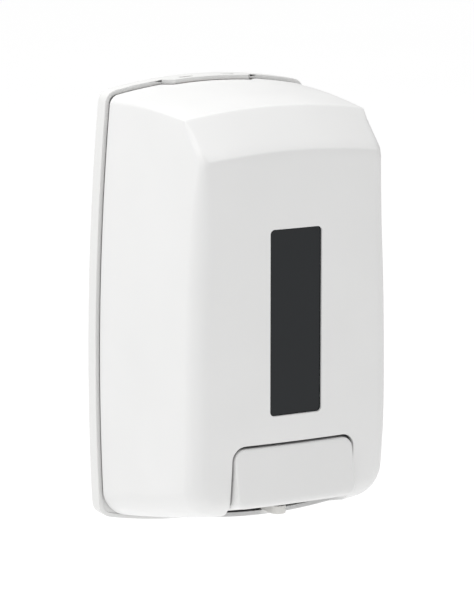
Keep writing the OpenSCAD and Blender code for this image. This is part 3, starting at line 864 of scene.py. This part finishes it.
def face_outwards(piece):
    """Turns every face of a closed mesh outwards."""
    work = bmesh.new()
    work.from_mesh(piece.data)
    bmesh.ops.recalc_face_normals(work, faces=work.faces)
    work.to_mesh(piece.data)
    work.free()


hinge_low, hinge_high = node_box("cover_hinge_pins")
pins_low, pins_high = node_box("push_bar_pins")
hinge_y = -(hinge_low.y + hinge_high.y) / 2
hinge_z = (hinge_low.z + hinge_high.z) / 2
pivot_y = -(pins_low.y + pins_high.y) / 2
pivot_z = (pins_low.z + pins_high.z) / 2
bar_pin_r = 2.0
ear_w = 3.0
hinge_ear_w = 5.0
pin_end = 1.2
bar_ear_x = pins_high.x - pin_end - ear_w
hinge_ear_x = hinge_high.x - hinge_ear_w
hinge_ear_r = 3.2
hinge_web_reach = 9
hinge_web_rise = 2.6
bar_ear_wall = 3
bar_web_gap = 3.6


def build_cover_ears():
    shell = Shell()
    for side in (-1, 1):
        hinge_ear = round_end(hinge_y, hinge_z, hinge_ear_r, hinge_y + hinge_web_reach, hinge_web_rise)
        prism(shell, hinge_ear, side * hinge_ear_x, side * (hinge_ear_x + hinge_ear_w))
        bar_ear = round_end(pivot_y, pivot_z, bar_pin_r + bar_ear_wall, case_d - bar_web_gap)
        prism(shell, bar_ear, side * bar_ear_x, side * (bar_ear_x + ear_w))
    return shell


ears = make_object("cover_ears", build_cover_ears())
face_outwards(ears)
soften(ears, edge_round)
hand_over(ears, "cover", "case", case_finish)
print("ears at", round(hinge_ear_x, 1), "and", round(bar_ear_x, 1), "mm")

# %% [markdown]
# ## Webs in the plate's foot corners
# The plate's foot corners are tighter than the cover's. A web closes the corner between them, so
# that no deep gap shows there.

# %% Fill the plate's foot corners
web_inset = 1.2
web_rear_y = 4.0
web_front_y = rim_d - 0.4


def build_corner_webs():
    shell = Shell()
    for side in (-1, 1):
        strips = []
        for y in (web_rear_y, web_front_y):
            for w, foot, r in (
                (half_w - web_inset, web_inset - half_h, plate_foot_r - web_inset),
                (cover_half_w - web_inset, web_inset - cover_top, cover_foot_r - web_inset),
            ):
                strip = []
                for i in range(corner_steps + 1):
                    column = ("foot_corner", i / corner_steps)
                    x, z = outline_point(column, w, -foot, foot, r, r, [0.0], [0.0])
                    strip.append(shell.add(side * x, y, z))
                strips.append(strip)
        rear_out, rear_in, front_out, front_in = strips
        shell.loft([rear_out, rear_in, front_in, front_out, rear_out], closed=False)
        for i in (0, -1):
            shell.face(rear_out[i], rear_in[i], front_in[i], front_out[i])
    return shell


webs = make_object("plate_corner_webs", build_corner_webs())
face_outwards(webs)
soften(webs, edge_round)
hand_over(webs, "root", "case", plate_finish)
print("corner webs to", web_front_y, "mm")

# %% [markdown]
# ## The push bar
# The bar is a shallow open box. Its face starts flush with the cover at the top and leans out to
# its foot, where it turns under into a lip. It is built like the cover: an outline of columns that
# slides from the face back to the rear edge, and a triangulated face.

# %% Build the push bar
bar_face_top_y = case_d - 0.6
bar_face_foot_y = -bar_low.y
bar_lip_z = bar_low.z
bar_foot_z = bar_top_z - 31.0
bar_rear_y = -bar_high.y
bar_wall = 2.4
bar_corner_r = 6.0
bar_foot_r = 4.0
bar_edge_r = 1.1
bar_lip_r = 4.2
wall_rings = 6
notch_rings = 3
notch_columns = 6
notch_rear_half = 13.0
notch_front_half = 7.0
bar_arc_steps = 8
bar_side_steps = 10
bar_top_steps = 16
bar_edge_steps = 5
bar_pitch = 2.6
bar_top_fall = 1.2


def bar_depth(x, z):
    """Depth of the bar's leaning and slightly crowned face."""
    t = (bar_top_z - z) / (bar_top_z - bar_foot_z)
    return lerp(bar_face_top_y, bar_face_foot_y, t) - x * x / (2 * front_r)


def bar_round(z):
    """Radius of the edge round the face, which grows into the round lip at the foot."""
    return lerp(bar_edge_r, bar_lip_r, max(0.0, 1 - (z - bar_foot_z) / bar_foot_r))


def bar_outline(inset, foot, top, notch):
    """Right half of the bar's outline, from the middle of the foot to the middle of the top."""
    half = bar_half - inset
    r_foot, r_top = bar_foot_r - inset, bar_corner_r - inset
    foot, top = foot + inset, top - inset
    right = [(x, foot) for x in spread([0.0, notch, half - r_foot], [notch_columns, bar_side_steps])]
    for i in range(bar_arc_steps + 1):
        a = -math.pi / 2 + math.pi / 2 * i / bar_arc_steps
        right.append((half - r_foot + r_foot * math.cos(a), foot + r_foot + r_foot * math.sin(a)))
    for i in range(1, bar_side_steps):
        right.append((half, lerp(foot + r_foot, top - r_top, i / bar_side_steps)))
    for i in range(bar_arc_steps + 1):
        a = math.pi / 2 * i / bar_arc_steps
        right.append((half - r_top + r_top * math.cos(a), top - r_top + r_top * math.sin(a)))
    for i in range(1, bar_top_steps + 1):
        right.append(((half - r_top) * (1 - i / bar_top_steps), top))
    return right


def build_push_bar():
    shell = Shell(bar_wall)
    halves = []
    for k in range(wall_rings + 1):
        notch = lerp(notch_rear_half, notch_front_half, min(1.0, k / notch_rings))
        rear = bar_outline(0, bar_lip_z, bar_top_z - bar_top_fall, notch)
        edge = bar_outline(0, bar_foot_z, bar_top_z, notch)
        t = k / wall_rings
        half = []
        for (xa, za), (xb, zb) in zip(rear, edge):
            front = bar_depth(xb, zb) - bar_round(zb)
            half.append((lerp(xa, xb, t), lerp(bar_rear_y, front, t), lerp(za, zb, t)))
        halves.append(half)
    corner = [(x, bar_depth(x, z), z) for x, z in edge]
    face_foot_z = bar_foot_z + bar_lip_r - bar_edge_r
    flat = bar_outline(bar_edge_r, face_foot_z, bar_top_z, notch_front_half)
    face = [(x, bar_depth(x, z), z) for x, z in flat]
    turns = list(zip(halves[wall_rings], corner, face))
    for j in range(1, bar_edge_steps + 1):
        halves.append([corner_bend(a, c, b, j / bar_edge_steps) for a, c, b in turns])
    count = 2 * len(corner) - 2
    shell.loft(
        [mirror_ring(shell, half) for half in halves],
        lambda k, i: k >= notch_rings or notch_columns <= i < count - notch_columns,
    )
    rim = [(x, z) for x, _, z in halves[-1]]
    loop = rim + [(-x, z) for x, z in rim[-2:0:-1]]
    shell.fill(loop, [], bar_depth, lambda x, z: True, bar_pitch)
    return shell


bar_shell = build_push_bar()
bar = make_object("bar_shell", bar_shell)
mark_rims(bar)
wall_up(bar, bar_shell, bar_wall)
soften(bar, edge_round, limit="WEIGHT")
hand_over(bar, "push", "case", case_finish, "push_bar")
print("push bar:", len(bar_shell.points), "points")

# %% Rib that presses the piston
rod_low, rod_high = node_box("piston_rod")
rod_z = (rod_low.z + rod_high.z) / 2
presser_r = 3.0
presser_half = 8
presser_gap = 0.4
presser_bite = 1.2
presser_y = -rod_low.y + presser_gap + presser_r
presser_end_y = bar_depth(presser_half, rod_z) - presser_bite
presser_shell = Shell()
presser_side = round_end(presser_y, rod_z, presser_r, presser_end_y)
prism(presser_shell, presser_side, -presser_half, presser_half)
presser = make_object("bar_presser", presser_shell)
face_outwards(presser)
soften(presser, edge_round)
hand_over(presser, "push", "case", case_finish)
print("presser", round(presser_y, 1), "mm from the wall")

# %% [markdown]
# ## Wound springs
# The frame draws each spring as spaced rings, which is enough for its length and weight. A real
# compression spring is one wire: an even helix whose last turn at each end lies flat. The wire is
# swept along that helix.

# %% Wind a spring


def wind_spring(shell, place, radius, wire_r, turns, length, sides=10, steps=28):
    """Tube along a helix with closed end turns; place maps (a, b, along) to (x, y, z)."""
    rings = []
    dead = 0.9
    for k in range(round(turns * steps) + 1):
        t = k / steps
        rise = max(0.0, min(1.0, (t - dead) / (turns - 2 * dead)))
        along = lerp(wire_r, length - wire_r, rise)
        turn = 2 * math.pi * t
        out_x, out_y = math.cos(turn), math.sin(turn)
        ring = []
        for i in range(sides):
            a = 2 * math.pi * i / sides
            reach = radius + wire_r * math.cos(a)
            point = place(reach * out_x, reach * out_y, along + wire_r * math.sin(a))
            ring.append(shell.add(*point))
        rings.append(ring)
    shell.loft(rings)
    shell.face(*rings[0])
    shell.face(*rings[-1][::-1])


def compression_spring(name, node, axis, radius, wire_r, turns, body, travel):
    """Spring in the box of a frame node, along axis 1 (Y) or 2 (Z)."""
    low, high = node_box(node)
    length = high[axis] - low[axis]
    middle = (low + high) / 2
    upright = axis == 2

    def place(a, b, along):
        if upright:
            return a, b - middle.y, low.z + along
        return a, -low.y - along, rod_z + b

    shell = Shell()
    wind_spring(shell, place, radius, wire_r, turns, length)
    spring = make_object(name, shell)
    face_outwards(spring)
    hand_over(spring, body, "steel", steel_finish, node)
    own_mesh(spring)
    print(name, round(length, 1), "mm long, keeps", round(1 - travel / length, 2))


compression_spring("wound_latch_spring", "latch_spring", 2, 1.9, 0.4, 8, "root", 4.0)
compression_spring("wound_pump_spring", "pump_spring", 1, 6.0, 0.5, 7, "root", 4.8)

# %% Torsion springs on the push bar's pins


def build_torsion_springs():
    shell = Shell()
    coil_r, wire_r, length, turns = 2.9, 0.45, 4.6, 4.5
    wire_sides = 8
    bar_side_space, coil_space = 3.0, 6.6
    inner = bar_half - bar_side_space - coil_space
    for side in (-1, 1):

        def place(a, b, along, side=side):
            return side * (inner + along), pivot_y + a, pivot_z + b

        wind_spring(shell, place, coil_r, wire_r, turns, length)
        for along, reach_y in ((wire_r, -7.0), (length - wire_r, 8.0)):
            leg = []
            start = coil_r if reach_y > 0 else -coil_r
            for t in (0.0, 0.35, 0.7, 1.0):
                y = pivot_y + lerp(start, start + reach_y, t)
                ring = []
                for i in range(wire_sides):
                    a = 2 * math.pi * i / wire_sides
                    x = side * (inner + along + wire_r * math.cos(a))
                    ring.append(shell.add(x, y, pivot_z + wire_r * math.sin(a) + 0.4 * t))
                leg.append(ring)
            shell.loft(leg)
            shell.face(*leg[0])
            shell.face(*leg[-1][::-1])
    return shell


torsion = make_object("wound_bar_springs", build_torsion_springs())
face_outwards(torsion)
hand_over(torsion, "cover", "steel", steel_finish, "push_bar_springs")
print("torsion springs wound")

# %% [markdown]
# ## Frame pieces that stay
# The other pieces already have their true shape. They get a finish, clean normals and a small
# round on their edges, because no moulded or turned edge is perfectly sharp, and a thin bright
# line along an edge is what makes it look solid. Modifiers do this without touching the mesh.

# %% Finish the frame's own pieces


def finish_node(name, material, width):
    """Welds and softens a frame node by modifiers, and paints it."""
    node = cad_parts[name]
    node.data.materials.clear()
    node.data.materials.append(material)
    custom = node.data.attributes.get("custom_normal")
    if custom:
        node.data.attributes.remove(custom)
    node.data.shade_smooth()
    weld = node.modifiers.new("Weld", "WELD")
    weld.merge_threshold = 0.002 * MM
    soften(node, width)


node_finishes = {
    "back_plate": (plate_finish, 0.35),
    "latch_guide": (chassis_finish, 0.3),
    "pump_bracket": (chassis_finish, 0.4),
    "tank": (tank_finish, 0.3),
    "outlet_seal": (rubber_finish, 0.15),
    "lock_nut": (white_part_finish, 0.2),
    "pump_body": (pump_finish, 0.3),
    "pump_end_cap": (pump_finish, 0.3),
    "nozzle": (white_part_finish, 0.25),
    "duckbill_valve": (silicone_finish, 0.1),
    "push_bar_pins": (steel_finish, 0.15),
    "cover_hinge_pins": (steel_finish, 0.15),
    "latch_guide_screws": (steel_finish, 0.12),
    "bracket_screws": (steel_finish, 0.12),
    "window": (window_finish, 0.2),
    "window_frame": (chassis_finish, 0.2),
    "cover_catch": (chassis_finish, 0.3),
    "piston_rod": (white_part_finish, 0.2),
    "piston_seal": (rubber_finish, 0.12),
    "lock_latch": (latch_finish, 0.3),
    "inlet_ball": (steel_finish, 0.01),
    "fill_cap": (white_part_finish, 0.3),
    "fill_cap_seal": (rubber_finish, 0.12),
}
for node_name, (node_material, edge_width) in node_finishes.items():
    finish_node(node_name, node_material, edge_width)
print("finished", len(node_finishes), "frame pieces")

# %% [markdown]
# ## Studio
# The dispenser is shown a little from its left and from slightly above, before a white ground.
# A pale floor runs far back. One broad light from overhead and a white room, brighter above and to
# the left, give the white plastic its gentle shades: the top is brightest, the left side nearly as
# bright and the front a shade darker.

# %% Floor, light, room and camera
view_turn = math.radians(29.0)
view_rise = math.radians(10.56)
view_distance = 1671.0
aim = Vector((-2.5, -47.0, 7.3))
floor_drop = 80
floor_half = 15000.0
floor_steps = 20
floor_glow = 0.66


def studio_light(name, place, target, size, power):
    data = bpy.data.lights.new(name, "AREA")
    data.shape = "RECTANGLE"
    data.size, data.size_y = size
    data.energy = power
    light = bpy.data.objects.new(name, data)
    light.location = place
    light.rotation_euler = (Vector(target) - Vector(place)).to_track_quat("-Z", "Y").to_euler()
    bpy.context.scene.collection.objects.link(light)


def pale_floor():
    """Wide floor of quads that also lights the object from below, as a white sweep does."""
    shell = Shell()
    marks = [lerp(-floor_half, floor_half, i / floor_steps) for i in range(floor_steps + 1)]
    rings = []
    for k in range(floor_steps + 1):
        y = lerp(floor_half, -floor_half, k / floor_steps)
        rings.append([shell.add(x, y, -half_h - floor_drop) for x in marks])
    shell.loft(rings, closed=False)
    ground = make_object("pale_floor", shell)
    finish = bpy.data.materials.new("pale_floor")
    finish.use_nodes = True
    tree = finish.node_tree
    shader = tree.nodes["Principled BSDF"]
    cloud = noise(tree, object_space(tree), 3.0, 2.0)
    base = tint(tree, cloud, (0.40, 0.40, 0.40), (0.42, 0.42, 0.42))
    tree.links.new(base, shader.inputs["Base Color"])
    shader.inputs["Roughness"].default_value = 0.9
    shader.inputs["Emission Color"].default_value = (1, 1, 1, 1)
    shader.inputs["Emission Strength"].default_value = floor_glow
    ground.data.materials.append(finish)


def product_camera():
    data = bpy.data.cameras.new("camera")
    data.lens = 194.0
    data.sensor_width = 36.0
    data.clip_end = 100.0
    camera = bpy.data.objects.new("camera", data)
    level = math.cos(view_rise)
    toward = Vector((math.sin(view_turn) * level, math.cos(view_turn) * level, -math.sin(view_rise)))
    camera.location = (aim - toward * view_distance) * MM
    camera.rotation_euler = toward.to_track_quat("-Z", "Y").to_euler()
    bpy.context.scene.collection.objects.link(camera)
    bpy.context.scene.camera = camera


def soft_room(level, left, back, above):
    """White room: a level all round, with more light from the left, from behind and from above."""
    room = bpy.data.worlds.new("soft white room")
    room.use_nodes = True
    tree = room.node_tree
    way = put(tree, "ShaderNodeTexCoord").outputs["Generated"]
    slope = put(tree, "ShaderNodeVectorMath", {"operation": "DOT_PRODUCT"}, i0=way, i1=(-left, back, 0.0))
    rise = put(tree, "ShaderNodeSeparateXYZ", Vector=way).outputs["Z"]
    sky = ramp(tree, rise, level, level + above)
    background = tree.nodes["Background"]
    background.inputs["Color"].default_value = (1, 1, 1, 1)
    total = put(tree, "ShaderNodeMath", i0=slope.outputs["Value"], i1=sky)
    tree.links.new(total.outputs[0], background.inputs["Strength"])
    bpy.context.scene.world = room


pale_floor()
soft_room(0.375, 0.19, -0.02, 0.57)
studio_light("overhead", (-0.4, 0.25, 1.35), (0, 0, 0.1), (1.0, 1.0), 11)
product_camera()
bpy.context.scene.view_settings.view_transform = "Standard"
print("studio ready")
